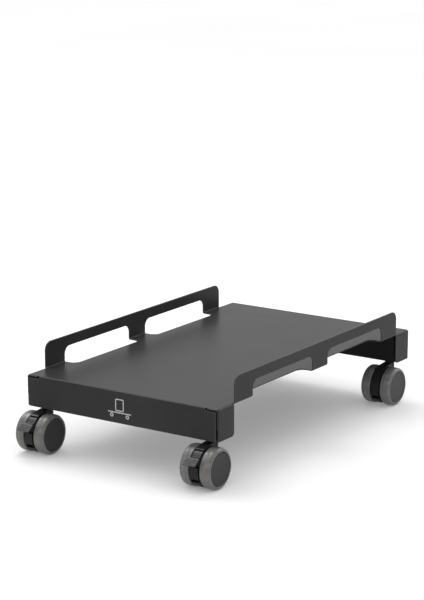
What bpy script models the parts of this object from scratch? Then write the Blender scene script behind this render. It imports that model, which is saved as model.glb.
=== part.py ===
"""Rolling stand for a desktop computer tower.

A deck is folded from one steel sheet: its front, rear and end edges turn down into skirts, and its
long sides turn up between them into low rails that stand on three feet each. Two lipped cross
channels stiffen the ends and carry four swivelling twin-wheel casters, the front pair with a brake.

Metres, +Z up. The floor is z = 0, the front faces -Y, and the origin lies under the middle of the
stand's bounding box.
"""

import math

import bmesh
import bpy
from mathutils import Matrix, Vector

MM = 0.001

# ---- Folded deck ---------------------------------------------------------------------------------
DECK_WIDTH = 280.0 * MM  # over the end skirts and the side rails
DECK_LENGTH = 456.0 * MM  # over the front and rear skirts
SHEET = 1.8 * MM  # steel with its powder coat
FOLD_RADIUS = 3.0 * MM  # outside radius of every fold
SKIRT_HEIGHT = 39.3 * MM  # deck top to the skirts' lower edge
BEAM_DEPTH = 34.5 * MM  # length of an end skirt along the side
SKIRT_CORNER = 5.0 * MM
RAIL_RISE = 32.3 * MM  # rail top above the deck
RAIL_CORNER = 11.0 * MM
END_FOOT = 38.4 * MM  # the rail's first and last feet, along the side
MIDDLE_FOOT = 35.0 * MM
WINDOW_RISE = 18.5 * MM  # window top above the deck
WINDOW_CORNER = 10.0 * MM
SCALLOP_DEPTH = 18.5 * MM  # how far the cut-outs run into the deck
RELIEF_WIDTH = 1.2 * MM  # slit between a rail and the skirt beside it
RELIEF_HOLE = 3.2 * MM

# ---- Slits that free the front and rear skirts' corners ------------------------------------------
SLIT_LENGTH = 13.6 * MM  # from the corner gap to the relief hole
SLIT_HEIGHT = 1.5 * MM
SLIT_DROP = 1.9 * MM  # deck top to the slit
CORNER_SETBACK = 3.4 * MM  # skirt edge to the deck's side
CORNER_GAP = 1.5 * MM
WIDE_GAP_HEIGHT = 15.0 * MM  # the gap is wider up to here above the skirt's lower edge

# ---- Cross channels ------------------------------------------------------------------------------
CHANNEL_SHEET = 2.0 * MM
CHANNEL_LIP = 8.0 * MM
CHANNEL_END_GAP = 2.0 * MM
CHANNEL_RECESS = 0.6 * MM  # web above the skirts' lower edge

# ---- Casters -------------------------------------------------------------------------------------
WHEEL_RADIUS = 25.0 * MM
WHEEL_WIDTH = 13.75 * MM
WHEEL_GAP = 15.5 * MM  # between the two treads
TREAD_DEPTH = 4.5 * MM
TREAD_SHOULDER = 4.6 * MM
CAP_THICKNESS = 1.3 * MM
CAP_SINK = 0.5 * MM
RIM_DEPTH = 2.6 * MM
WHEEL_WEB = 2.4 * MM
HUB_WALL = 3.4 * MM
AXLE_RADIUS = 3.0 * MM
TRAIL = 15.5 * MM  # swivel axis to wheel axle
SIDE_INSET = 18.7 * MM  # swivel axis to the deck's side
END_INSET = 17.6 * MM  # swivel axis to the deck's end

HOUSING_WIDTH = 11.5 * MM
HOUSING_INSET = 0.6 * MM  # housing face inside the tread's radius
BOSS_RADIUS = 6.25 * MM
BOSS_ABOVE_WHEEL = 4.1 * MM
BOSS_BASE = 8.0 * MM  # lower end of the boss above the axle
SOCKET_DEPTH = 14.6 * MM
AXLE_BOSS_RADIUS = 7.5 * MM
HOOD_LIP = 2.3 * MM  # how far the hood's lip stands out over the face
LIP_ANGLE = 62.0
LIP_SPAN = 5.0
HOOD_RUN = 18.75 * MM  # from the swivel axis forward to where the hood starts to dip
HOOD_DIP = 2.6 * MM  # hood below the boss's top, there
HOOD_AT_BOSS = 1.4 * MM  # and beside the boss
TOE_ANGLE = -62.0
TOE_HOLE_WIDTH = 9.9 * MM
TREAD_EDGE = 1.2 * MM  # rounding of a tread's inner edge and a cap's rim
TOE_HOLE_ANGLES = (-37.0, -25.0)

STEM_RADIUS = 3.95 * MM  # thread
PIN_RADIUS = 4.0 * MM  # swivel pin below the collar
COLLAR_ACROSS = 13.0 * MM
COLLAR_HEIGHT = 2.5 * MM
NUT_ACROSS = 13.0 * MM
NUT_HEIGHT = 6.5 * MM
THREAD_PROUD = 1.6 * MM  # thread above the nut
RING_PROUD = 0.5 * MM  # ring beyond the swivel pin
RING_HEIGHT = 1.0 * MM
RING_RISE = 4.0 * MM  # ring above the pin's lower end
GROOVE_DEPTH = 0.7 * MM

# ---- Brake lever on the front casters ------------------------------------------------------------
PIVOT_ANGLE = 47.0
PIVOT_REACH = 15.5 * MM
PIVOT_PIN_RADIUS = 1.5 * MM
EYE_RADIUS = 3.4 * MM
ARM_WIDTH = 4.6 * MM
ARM_ANGLES = (8.0, 5.0)  # arm's edges where it meets the tongue, either side of the pivot's angle
SLOT_MARGIN = 5.0  # the slot is wider than the arm by this angle at each edge
TONGUE_WIDTH = 11.0 * MM
TONGUE_DEPTH = 5.0 * MM
TONGUE_PROUD = 1.2 * MM  # tongue face outside the housing's face
TONGUE_ANGLES = (22.0, 58.5)
POCKET_ANGLES = (11.0, 61.6)
PEDAL_PRESS = 12.0  # how far the pedal turns down
PEDAL_WIDTH = 17.8 * MM
PEDAL_LENGTH = 11.2 * MM
PEDAL_THICKNESS = 1.7 * MM
PEDAL_SLOPE = 35.0
PEDAL_CLEAR = 6.4 * MM  # pedal's rear edge outside the tread
PEDAL_ANGLE = 33.0
NECK_ANGLES = (4.0, 7.0)  # the neck blends into the tongue this far below and above the pedal

# ---- Clearances ----------------------------------------------------------------------------------
TOUCH = 0.3 * MM  # between pieces that rest on each other
RUNNING = 0.08 * MM  # radial, where a piece turns on another
SEATED = 0.1 * MM  # radial, where a piece is pressed in
SWIVEL_GAP = 0.4 * MM
LEVER_GAP = 0.35 * MM

# ---- Fineness of round pieces --------------------------------------------------------------------
TREAD_STEPS = 32
WHEEL_STEPS = 20
CAP_STEPS = 28
PIN_STEPS = 16
SMOOTH_ANGLE = math.radians(35.0)
MERGE = 0.00005

# ---- Derived sizes -------------------------------------------------------------------------------
HOUSING_RADIUS = WHEEL_RADIUS - HOUSING_INSET
PEDAL_REACH = WHEEL_RADIUS + PEDAL_CLEAR
RING_RADIUS = PIN_RADIUS + RING_PROUD
GROOVE_RADIUS = PIN_RADIUS - GROOVE_DEPTH
BOSS_RISE = WHEEL_RADIUS + BOSS_ABOVE_WHEEL
COLLAR_BASE = WHEEL_RADIUS + BOSS_RISE + SWIVEL_GAP
WEB_BOTTOM = COLLAR_BASE + COLLAR_HEIGHT + TOUCH
SKIRT_BOTTOM = WEB_BOTTOM - CHANNEL_RECESS
DECK_TOP = SKIRT_BOTTOM + SKIRT_HEIGHT
SHEET_MIDDLE = DECK_TOP - SHEET / 2
BEND = FOLD_RADIUS - SHEET / 2  # fold radius on the sheet's middle surface
HALF_WIDTH = DECK_WIDTH / 2
HALF_LENGTH = DECK_LENGTH / 2
TREAD_BORE = WHEEL_RADIUS - TREAD_DEPTH
WHEEL_INNER = WHEEL_GAP / 2
WHEEL_OUTER = WHEEL_INNER + WHEEL_WIDTH
AXLE_BORE = AXLE_RADIUS + RUNNING

STEM_X = HALF_WIDTH - SIDE_INSET
STEM_Y = HALF_LENGTH - END_INSET


def on_arc(radius, degrees, centre=(0.0, 0.0)):
    """A point at this angle up from the front (-Y) direction, about a centre in the side view."""
    angle = math.radians(degrees)
    return (centre[0] - radius * math.cos(angle), centre[1] + radius * math.sin(angle))


PEDAL_REAR = on_arc(PEDAL_REACH, PEDAL_ANGLE)
PEDAL_TIP_Y = PEDAL_REAR[0] - PEDAL_LENGTH * math.cos(math.radians(PEDAL_SLOPE))
FOREMOST = min(-HALF_LENGTH, -STEM_Y - TRAIL + min(PEDAL_TIP_Y, -WHEEL_RADIUS))
REARMOST = max(HALF_LENGTH, STEM_Y - TRAIL + WHEEL_RADIUS)
FRAME_Y = -(FOREMOST + REARMOST) / 2  # the deck's middle, from the middle of the whole stand


# ---- Scene, materials and small helpers ----------------------------------------------------------
for leftover in list(bpy.data.objects):
    bpy.data.objects.remove(leftover, do_unlink=True)

parts = bpy.data.collections.new("rolling_tower_stand")
cutters = bpy.data.collections.new("cutters")
for collection in (parts, cutters):
    bpy.context.scene.collection.children.link(collection)


def material(name, colour, roughness, metallic):
    made = bpy.data.materials.new(name)
    made.use_nodes = True
    shader = made.node_tree.nodes["Principled BSDF"]
    shader.inputs["Base Color"].default_value = (*colour, 1.0)
    shader.inputs["Roughness"].default_value = roughness
    shader.inputs["Metallic"].default_value = metallic
    return made


powder_coat = material("powder_coat", (0.034, 0.034, 0.035), 0.46, 0.0)
channel_coat = material("channel_coat", (0.022, 0.022, 0.023), 0.55, 0.0)
zinc_plate = material("zinc_plate", (0.55, 0.56, 0.58), 0.35, 1.0)
black_steel = material("black_steel", (0.03, 0.03, 0.032), 0.4, 0.9)
housing_plastic = material("housing_plastic", (0.022, 0.022, 0.023), 0.42, 0.0)
lever_plastic = material("lever_plastic", (0.06, 0.06, 0.062), 0.5, 0.0)
core_plastic = material("core_plastic", (0.05, 0.05, 0.052), 0.5, 0.0)
cap_plastic = material("cap_plastic", (0.058, 0.058, 0.058), 0.45, 0.0)
tread_rubber = material("tread_rubber", (0.21, 0.21, 0.2), 0.62, 0.0)


def add(name, mesh, finish=None, collection=parts):
    obj = bpy.data.objects.new(name, mesh)
    collection.objects.link(obj)
    if finish is not None and not mesh.materials:
        mesh.materials.append(finish)
    if collection is cutters:
        obj.hide_render = True
        obj.display_type = "WIRE"
    return obj


def cutter(name, mesh):
    return add(name, mesh, collection=cutters)


def mesh_from(bm, name):
    mesh = bpy.data.meshes.new(name)
    bmesh.ops.recalc_face_normals(bm, faces=bm.faces)
    bm.to_mesh(mesh)
    bm.free()
    return mesh


def realised(obj, finish=None):
    """The object's mesh with its modifiers applied, welded and shaded; the object itself goes."""
    bpy.context.view_layer.update()
    graph = bpy.context.evaluated_depsgraph_get()
    mesh = bpy.data.meshes.new_from_object(obj.evaluated_get(graph))
    mesh.transform(obj.matrix_world)
    mesh.name = obj.name
    bpy.data.objects.remove(obj, do_unlink=True)
    bm = bmesh.new()
    bm.from_mesh(mesh)
    bmesh.ops.remove_doubles(bm, verts=bm.verts, dist=MERGE)
    bmesh.ops.recalc_face_normals(bm, faces=bm.faces)
    bm.to_mesh(mesh)
    bm.free()
    mesh.shade_smooth()
    mesh.set_sharp_from_angle(angle=SMOOTH_ANGLE)
    mesh.materials.clear()
    if finish is not None:
        mesh.materials.append(finish)
    return mesh


def box(name, low, high):
    bm = bmesh.new()
    bmesh.ops.create_cube(bm, size=1.0)
    size = Vector(high) - Vector(low)
    bmesh.ops.scale(bm, vec=size, verts=bm.verts)
    bmesh.ops.translate(bm, vec=Vector(low) + size / 2, verts=bm.verts)
    return mesh_from(bm, name)


def rod(name, radius, length, steps=PIN_STEPS, turn=None, centre=(0.0, 0.0, 0.0)):
    """A closed cylinder along Z, turned and then moved."""
    bm = bmesh.new()
    bmesh.ops.create_cone(
        bm, cap_ends=True, segments=steps, radius1=radius, radius2=radius, depth=length
    )
    bmesh.ops.transform(
        bm, matrix=Matrix.Translation(centre) @ (turn or Matrix()), verts=bm.verts
    )
    return mesh_from(bm, name)


def turned(name, profile, steps, finish=None):
    """A solid of revolution about Z from (radius, height) points, outer side from top to bottom."""
    bm = bmesh.new()
    points = [bm.verts.new((radius, 0.0, height)) for radius, height in profile]
    for first, second in zip(points, points[1:]):
        bm.edges.new((first, second))
    if profile[0][0] > 0.0:
        bm.edges.new((points[-1], points[0]))
    mesh = bpy.data.meshes.new(name)
    bm.to_mesh(mesh)
    bm.free()
    obj = add(name, mesh)
    screw = obj.modifiers.new("turn", "SCREW")
    screw.steps = screw.render_steps = steps
    screw.use_merge_vertices = True
    screw.merge_threshold = MERGE
    return realised(obj, finish)


def side_plate(name, outline, width):
    """A flat piece that stands in the side view: (y, z) points, and its whole width along X."""
    curve = bpy.data.curves.new(name, "CURVE")
    curve.dimensions = "2D"
    curve.fill_mode = "BOTH"
    curve.extrude = width / 2
    spline = curve.splines.new("POLY")
    spline.points.add(len(outline) - 1)
    for point, (y, z) in zip(spline.points, outline):
        point.co = (y, z, 0.0, 1.0)
    spline.use_cyclic_u = True
    obj = add(name, curve)
    obj.matrix_world = Matrix(((0, 0, 1, 0), (1, 0, 0, 0), (0, 1, 0, 0), (0, 0, 0, 1)))
    return realised(obj)


def boolean(obj, tool, operation="DIFFERENCE"):
    made = obj.modifiers.new(tool.name, "BOOLEAN")
    made.operation = operation
    made.object = tool
    made.solver = "EXACT"


def mirror(obj, across_y=True):
    made = obj.modifiers.new("mirror", "MIRROR")
    made.use_axis = (True, across_y, False)
    made.merge_threshold = MERGE
    return obj


def arc_points(centre, radius, start, end, count):
    """Points on an arc, ends included, with angles in degrees from the first axis."""
    turns = [math.radians(start + (end - start) * i / count) for i in range(count + 1)]
    return [(centre[0] + radius * math.cos(a), centre[1] + radius * math.sin(a)) for a in turns]


# ---- Deck: one quarter of the sheet's middle surface, mirrored, folded and thickened -------------
SIDE = HALF_WIDTH - SHEET / 2
END = HALF_LENGTH - SHEET / 2
RAIL_END = HALF_LENGTH - BEAM_DEPTH - RELIEF_WIDTH
WINDOW_END = RAIL_END - END_FOOT
WINDOW_START = MIDDLE_FOOT / 2
RELIEF_DEEP = SIDE - BEND - RELIEF_WIDTH
SKIRT_END = HALF_LENGTH - BEAM_DEPTH
CORNER_STEPS = 5

inner_x = HALF_WIDTH - SCALLOP_DEPTH
scallop = arc_points(
    (inner_x + WINDOW_CORNER, WINDOW_END - WINDOW_CORNER), WINDOW_CORNER, 90, 180, CORNER_STEPS
) + arc_points(
    (inner_x + WINDOW_CORNER, WINDOW_START + WINDOW_CORNER), WINDOW_CORNER, 180, 270, CORNER_STEPS
)
relief = arc_points((RELIEF_DEEP, (SKIRT_END + RAIL_END) / 2), RELIEF_WIDTH / 2, 90, 270, 4)
deck_outline = [(0.0, 0.0), (0.0, END), (SIDE, END), (SIDE, SKIRT_END)]
deck_outline += relief + [(SIDE, RAIL_END), (SIDE, WINDOW_END)] + scallop
deck_outline += [(SIDE, WINDOW_START), (SIDE, 0.0)]

window_top = DECK_TOP + WINDOW_RISE
window = arc_points(
    (WINDOW_END - WINDOW_CORNER, window_top - WINDOW_CORNER), WINDOW_CORNER, 0, 90, CORNER_STEPS
) + arc_points(
    (WINDOW_START + WINDOW_CORNER, window_top - WINDOW_CORNER), WINDOW_CORNER, 90, 180, CORNER_STEPS
)
rail_top = DECK_TOP + RAIL_RISE
rail_outline = [(0.0, SHEET_MIDDLE), (0.0, rail_top)]
rail_outline += arc_points(
    (RAIL_END - RAIL_CORNER, rail_top - RAIL_CORNER), RAIL_CORNER, 90, 0, CORNER_STEPS
)
rail_outline += [(RAIL_END, SHEET_MIDDLE), (WINDOW_END, SHEET_MIDDLE)] + window
rail_outline += [(WINDOW_START, SHEET_MIDDLE)]

end_skirt_outline = [(END, SHEET_MIDDLE), (END, SKIRT_BOTTOM)]
end_skirt_outline += arc_points(
    (SKIRT_END + SKIRT_CORNER, SKIRT_BOTTOM + SKIRT_CORNER), SKIRT_CORNER, 270, 180, CORNER_STEPS
)
end_skirt_outline += [(SKIRT_END, SHEET_MIDDLE)]

bm = bmesh.new()
panels = (
    [(x, y, SHEET_MIDDLE) for x, y in deck_outline],
    [(SIDE, y, z) for y, z in rail_outline],
    [(SIDE, y, z) for y, z in end_skirt_outline],
    [(0.0, END, SHEET_MIDDLE), (SIDE, END, SHEET_MIDDLE)]
    + [(SIDE, END, SKIRT_BOTTOM), (0.0, END, SKIRT_BOTTOM)],
)
for panel in panels:
    bm.faces.new([bm.verts.new(point) for point in panel])
bmesh.ops.remove_doubles(bm, verts=bm.verts, dist=MERGE)
deck = mirror(add("deck", mesh_from(bm, "deck"), powder_coat))

folds = deck.modifiers.new("folds", "BEVEL")
folds.width = BEND
folds.segments = 4
folds.limit_method = "ANGLE"
folds.angle_limit = math.radians(45.0)
folds.use_clamp_overlap = False
sheet = deck.modifiers.new("sheet", "SOLIDIFY")
sheet.thickness = SHEET
sheet.offset = 0.0
sheet.use_even_offset = True

PAST = 1.0 * MM  # how far a cutter runs past the sheet
gap_low = HALF_WIDTH - CORNER_SETBACK
gap_high = gap_low + CORNER_GAP
behind = HALF_LENGTH - FOLD_RADIUS - TOUCH
slit_low = DECK_TOP - SLIT_DROP - SLIT_HEIGHT
slit_start = gap_low - SLIT_LENGTH
corner_cuts = {
    "slit_cutter": box(
        "slit_cutter",
        (slit_start, behind, slit_low),
        (gap_high, HALF_LENGTH + PAST, slit_low + SLIT_HEIGHT),
    ),
    "gap_cutter": box(
        "gap_cutter",
        (gap_low, behind, SKIRT_BOTTOM - PAST),
        (gap_high, HALF_LENGTH + PAST, slit_low + SLIT_HEIGHT / 2),
    ),
    "lip_cutter": box(
        "lip_cutter",
        (gap_low + CORNER_GAP / 2, HALF_LENGTH - SHEET - TOUCH, SKIRT_BOTTOM - PAST),
        (HALF_WIDTH + PAST, HALF_LENGTH + PAST, SKIRT_BOTTOM + WIDE_GAP_HEIGHT),
    ),
    "relief_cutter": rod(
        "relief_cutter",
        RELIEF_HOLE / 2,
        4 * FOLD_RADIUS,
        turn=Matrix.Rotation(math.radians(-45.0), 4, "X"),
        centre=(slit_start, HALF_LENGTH - SHEET / 2, DECK_TOP - SHEET / 2),
    ),
}
for name, mesh in corner_cuts.items():
    boolean(deck, mirror(cutter(name, mesh)))
deck.location.y = FRAME_Y
for tool in cutters.objects:
    tool.location.y = FRAME_Y


# ---- Cross channels: web, walls and inward lips --------------------------------------------------
channel_half = HALF_WIDTH - SHEET - CHANNEL_END_GAP
wall_out = HALF_LENGTH - FOLD_RADIUS - TOUCH - CHANNEL_SHEET / 2
wall_in = SKIRT_END + CHANNEL_SHEET / 2
web_z = WEB_BOTTOM + CHANNEL_SHEET / 2
lip_z = DECK_TOP - SHEET - TOUCH - CHANNEL_SHEET / 2
WEB_TOP = WEB_BOTTOM + CHANNEL_SHEET
stem_hole = mirror(
    cutter(
        "stem_hole_cutter",
        rod(
            "stem_hole_cutter",
            STEM_RADIUS + SEATED + TOUCH / 2,
            10 * CHANNEL_SHEET,
            centre=(STEM_X, STEM_Y, web_z),
        ),
    )
)
stem_hole.location.y = FRAME_Y

for end_name, end_sign in (("front", -1), ("rear", 1)):
    bm = bmesh.new()
    section = (
        (wall_out - CHANNEL_LIP, lip_z),
        (wall_out, lip_z),
        (wall_out, web_z),
        (wall_in, web_z),
        (wall_in, lip_z),
        (wall_in + CHANNEL_LIP, lip_z),
    )
    line = [bm.verts.new((-channel_half, end_sign * y, z)) for y, z in section]
    edges = [bm.edges.new(pair) for pair in zip(line, line[1:])]
    swept = bmesh.ops.extrude_edge_only(bm, edges=edges)
    moved = [item for item in swept["geom"] if isinstance(item, bmesh.types.BMVert)]
    bmesh.ops.translate(bm, vec=(2 * channel_half, 0, 0), verts=moved)
    name = end_name + "_cross_channel"
    channel = add(name, mesh_from(bm, name), channel_coat)
    channel.location.y = FRAME_Y
    bends = channel.modifiers.new("bends", "BEVEL")
    bends.width = CHANNEL_SHEET
    bends.segments = 2
    bends.limit_method = "ANGLE"
    wall = channel.modifiers.new("wall", "SOLIDIFY")
    wall.thickness = CHANNEL_SHEET
    wall.offset = 0.0
    wall.use_even_offset = True
    boolean(channel, stem_hole)


# ---- Stem, its snap ring and its weld nut, about the swivel axis ---------------------------------
PIN_END = WHEEL_RADIUS + BOSS_RISE - SOCKET_DEPTH + TOUCH
NUT_BASE = WEB_TOP + TOUCH
THREAD_TOP = NUT_BASE + NUT_HEIGHT + THREAD_PROUD
RING_BASE = PIN_END + RING_RISE
CHAMFER = 0.6 * MM

stem_round = add(
    "stem_round",
    turned(
        "stem_round",
        (
            (0.0, THREAD_TOP),
            (STEM_RADIUS - CHAMFER, THREAD_TOP),
            (STEM_RADIUS, THREAD_TOP - CHAMFER),
            (STEM_RADIUS, COLLAR_BASE + COLLAR_HEIGHT / 2),
            (PIN_RADIUS, COLLAR_BASE + COLLAR_HEIGHT / 2),
            (PIN_RADIUS, RING_BASE + RING_HEIGHT + SEATED),
            (GROOVE_RADIUS, RING_BASE + RING_HEIGHT + SEATED),
            (GROOVE_RADIUS, RING_BASE - SEATED),
            (PIN_RADIUS, RING_BASE - SEATED),
            (PIN_RADIUS, PIN_END + CHAMFER),
            (PIN_RADIUS - CHAMFER, PIN_END),
            (0.0, PIN_END),
        ),
        PIN_STEPS,
    ),
)
collar = cutter(
    "collar_hexagon",
    rod(
        "collar_hexagon",
        COLLAR_ACROSS / math.sqrt(3.0),
        COLLAR_HEIGHT,
        steps=6,
        centre=(0.0, 0.0, COLLAR_BASE + COLLAR_HEIGHT / 2),
    ),
)
boolean(stem_round, collar, "UNION")
stem_mesh = realised(stem_round, black_steel)

ring_inner = GROOVE_RADIUS + SEATED
ring_mesh = turned(
    "snap_ring",
    (
        (ring_inner, RING_BASE + RING_HEIGHT),
        (RING_RADIUS, RING_BASE + RING_HEIGHT),
        (RING_RADIUS, RING_BASE),
        (ring_inner, RING_BASE),
    ),
    PIN_STEPS,
    zinc_plate,
)

nut_blank = add(
    "nut_blank",
    rod(
        "nut_blank",
        NUT_ACROSS / math.sqrt(3.0),
        NUT_HEIGHT,
        steps=6,
        centre=(0.0, 0.0, NUT_BASE + NUT_HEIGHT / 2),
    ),
)
nut_bore = cutter(
    "nut_bore_cutter",
    rod("nut_bore_cutter", STEM_RADIUS + SEATED, 2 * THREAD_TOP),
)
boolean(nut_blank, nut_bore)
nut_mesh = realised(nut_blank, zinc_plate)


# ---- Caster housing, in the side view about the axle ---------------------------------------------
ALONG_X = Matrix.Rotation(math.radians(90.0), 4, "Y")
BACK_EDGE = TRAIL + BOSS_RADIUS / 3
lip_radius = HOUSING_RADIUS + HOOD_LIP
face_angles = [TOE_ANGLE + (LIP_ANGLE - TOE_ANGLE) * i / 12 for i in range(13)]
housing_outline = [on_arc(HOUSING_RADIUS, angle) for angle in face_angles]
housing_outline += [on_arc(lip_radius, LIP_ANGLE), on_arc(lip_radius, LIP_ANGLE + LIP_SPAN)]
housing_outline += [
    (TRAIL - HOOD_RUN, BOSS_RISE - HOOD_DIP),
    (TRAIL, BOSS_RISE - HOOD_AT_BOSS),
    (BACK_EDGE, BOSS_RISE - HOOD_AT_BOSS),
    (BACK_EDGE, BOSS_BASE + CHAMFER),
    (AXLE_BOSS_RADIUS, -AXLE_BOSS_RADIUS / 3),
    (AXLE_BOSS_RADIUS / 2, -AXLE_BOSS_RADIUS),
    (-AXLE_BOSS_RADIUS / 4, -AXLE_BOSS_RADIUS * 1.15),
]

stem_boss = cutter(
    "stem_boss",
    rod(
        "stem_boss",
        BOSS_RADIUS,
        BOSS_RISE - BOSS_BASE,
        steps=24,
        centre=(0.0, TRAIL, (BOSS_RISE + BOSS_BASE) / 2),
    ),
)
socket_radius = PIN_RADIUS + RUNNING
socket_floor = BOSS_RISE - SOCKET_DEPTH
groove_low = RING_BASE - SWIVEL_GAP - WHEEL_RADIUS
groove_high = RING_BASE + RING_HEIGHT + SWIVEL_GAP - WHEEL_RADIUS
socket_tool = cutter(
    "socket_cutter",
    turned(
        "socket_cutter",
        (
            (0.0, BOSS_RISE + PAST),
            (socket_radius, BOSS_RISE + PAST),
            (socket_radius, groove_high),
            (RING_RADIUS + SWIVEL_GAP, groove_high),
            (RING_RADIUS + SWIVEL_GAP, groove_low),
            (socket_radius, groove_low),
            (socket_radius, socket_floor),
            (0.0, socket_floor),
        ),
        PIN_STEPS,
    ),
)
socket_tool.location.y = TRAIL
axle_tool = cutter(
    "axle_hole_cutter",
    rod("axle_hole_cutter", AXLE_RADIUS + SEATED, 4 * HOUSING_WIDTH, turn=ALONG_X),
)
toe_low, toe_high = TOE_HOLE_ANGLES
toe_depth = HOUSING_RADIUS - 2 * TREAD_DEPTH
toe_hole = cutter(
    "toe_hole_cutter",
    side_plate(
        "toe_hole_cutter",
        [
            on_arc(HOUSING_RADIUS + PAST, toe_low),
            on_arc(HOUSING_RADIUS + PAST, toe_high),
            on_arc(toe_depth, toe_high),
            on_arc(toe_depth, toe_low),
        ],
        TOE_HOLE_WIDTH,
    ),
)

# Room for the lever: a full-width pocket in the face, and a slot for its arm between two cheeks.
pivot = on_arc(PIVOT_REACH, PIVOT_ANGLE)
tongue_low, tongue_high = TONGUE_ANGLES
tongue_face = HOUSING_RADIUS + TONGUE_PROUD
tongue_back = tongue_face - TONGUE_DEPTH
BACK_STEPS = 4
back_angles = [
    tongue_low + (tongue_high - tongue_low) * i / BACK_STEPS for i in range(BACK_STEPS + 1)
]


def pressed(radius, degrees):
    """(radius, degrees) about the axle of a lever point once the pedal is fully down."""
    y, z = on_arc(radius, degrees)
    arm = Vector((y - pivot[0], z - pivot[1]))
    arm.rotate(Matrix.Rotation(math.radians(PEDAL_PRESS), 2))
    y, z = pivot[0] + arm.x, pivot[1] + arm.y
    return math.hypot(y, z), math.degrees(math.atan2(z, -y))


# The pocket's floor clears the tongue's back both at rest and pressed.
pocket_low, pocket_high = POCKET_ANGLES
swept = [point for point in (pressed(tongue_back, a) for a in back_angles) if point[0] < tongue_back]
pocket_floor = [(swept[0][0], pocket_low)] + swept + [(tongue_back, pocket_high)]
pocket_outline = [on_arc(radius - LEVER_GAP, angle) for radius, angle in pocket_floor]
pocket_outline += [on_arc(2 * HOUSING_RADIUS, angle) for radius, angle in reversed(pocket_floor)]
slot_reach = EYE_RADIUS + 2 * LEVER_GAP
slot_angles = [PIVOT_ANGLE + 90.0 + 180.0 * i / 6 for i in range(7)]
slot_outline = [on_arc(slot_reach, angle, pivot) for angle in slot_angles]
slot_outline += [
    on_arc(HOUSING_RADIUS, PIVOT_ANGLE - ARM_ANGLES[0] - SLOT_MARGIN),
    on_arc(HOUSING_RADIUS, PIVOT_ANGLE + ARM_ANGLES[1] + SLOT_MARGIN),
]
lever_pocket = cutter(
    "lever_pocket_cutter", side_plate("lever_pocket_cutter", pocket_outline, 2 * HOUSING_WIDTH)
)
arm_slot = cutter(
    "arm_slot_cutter",
    side_plate("arm_slot_cutter", slot_outline, ARM_WIDTH + 2 * LEVER_GAP),
)
pivot_hole = cutter(
    "pivot_hole_cutter",
    rod(
        "pivot_hole_cutter",
        PIVOT_PIN_RADIUS + SEATED,
        4 * HOUSING_WIDTH,
        turn=ALONG_X,
        centre=(0.0, *pivot),
    ),
)


def housing_mesh(name, braked):
    blank = add(name, side_plate(name, housing_outline, HOUSING_WIDTH))
    boolean(blank, stem_boss, "UNION")
    tools = [socket_tool, axle_tool, toe_hole]
    if braked:
        tools += [lever_pocket, arm_slot, pivot_hole]
    for tool in tools:
        boolean(blank, tool)
    return realised(blank, housing_plastic)


housing_meshes = {
    "front": housing_mesh("braked_housing", True),
    "rear": housing_mesh("plain_housing", False),
}


# ---- Brake lever: tongue, arm and pedal, and its pivot pin ---------------------------------------
pedal_run = Vector((-math.cos(math.radians(PEDAL_SLOPE)), -math.sin(math.radians(PEDAL_SLOPE))))
pedal_down = Vector((-pedal_run.y, pedal_run.x)) * PEDAL_THICKNESS
pedal_rear = Vector(PEDAL_REAR)
pedal_front = pedal_rear + pedal_run * PEDAL_LENGTH
neck_top = pedal_rear + pedal_run * PEDAL_THICKNESS
FACE_STEPS = 3
face_low = PEDAL_ANGLE + NECK_ANGLES[1]
face_high = [tongue_high + (face_low - tongue_high) * i / FACE_STEPS for i in range(FACE_STEPS + 1)]
tongue_outline = [on_arc(tongue_face, angle) for angle in face_high]
tongue_outline += [tuple(neck_top), tuple(neck_top + pedal_down)]
tongue_outline += [on_arc(HOUSING_RADIUS, tongue_low + NECK_ANGLES[0])]
tongue_outline += [on_arc(HOUSING_RADIUS, tongue_low)]
tongue_outline += [on_arc(tongue_back, angle) for angle in back_angles]
pedal_outline = [
    tuple(corner)
    for corner in (pedal_rear, pedal_front, pedal_front + pedal_down, pedal_rear + pedal_down)
]
eye_angles = [PIVOT_ANGLE + 70.0 + 220.0 * i / 8 for i in range(9)]
arm_outline = [on_arc(EYE_RADIUS, angle, pivot) for angle in eye_angles]
arm_outline += [
    on_arc(tongue_back + TONGUE_DEPTH / 2, PIVOT_ANGLE - ARM_ANGLES[0]),
    on_arc(tongue_back + TONGUE_DEPTH / 2, PIVOT_ANGLE + ARM_ANGLES[1]),
]

lever = add("lever_blank", side_plate("lever_blank", tongue_outline, TONGUE_WIDTH))
for name, outline, width in (
    ("lever_arm", arm_outline, ARM_WIDTH),
    ("lever_pedal", pedal_outline, PEDAL_WIDTH),
):
    boolean(lever, cutter(name, side_plate(name, outline, width)), "UNION")
eye_tool = cutter(
    "eye_cutter",
    rod(
        "eye_cutter",
        PIVOT_PIN_RADIUS + RUNNING,
        2 * TONGUE_WIDTH,
        turn=ALONG_X,
        centre=(0.0, *pivot),
    ),
)
boolean(lever, eye_tool)
lever_mesh = realised(lever, lever_plastic)
pivot_shift = Vector((0.0, *pivot))
lever_mesh.transform(Matrix.Translation(-pivot_shift))
pin_mesh = rod("brake_pin", PIVOT_PIN_RADIUS, HOUSING_WIDTH - TOUCH, turn=ALONG_X)
pin_mesh.shade_smooth()
pin_mesh.set_sharp_from_angle(angle=SMOOTH_ANGLE)
pin_mesh.materials.append(zinc_plate)


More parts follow.
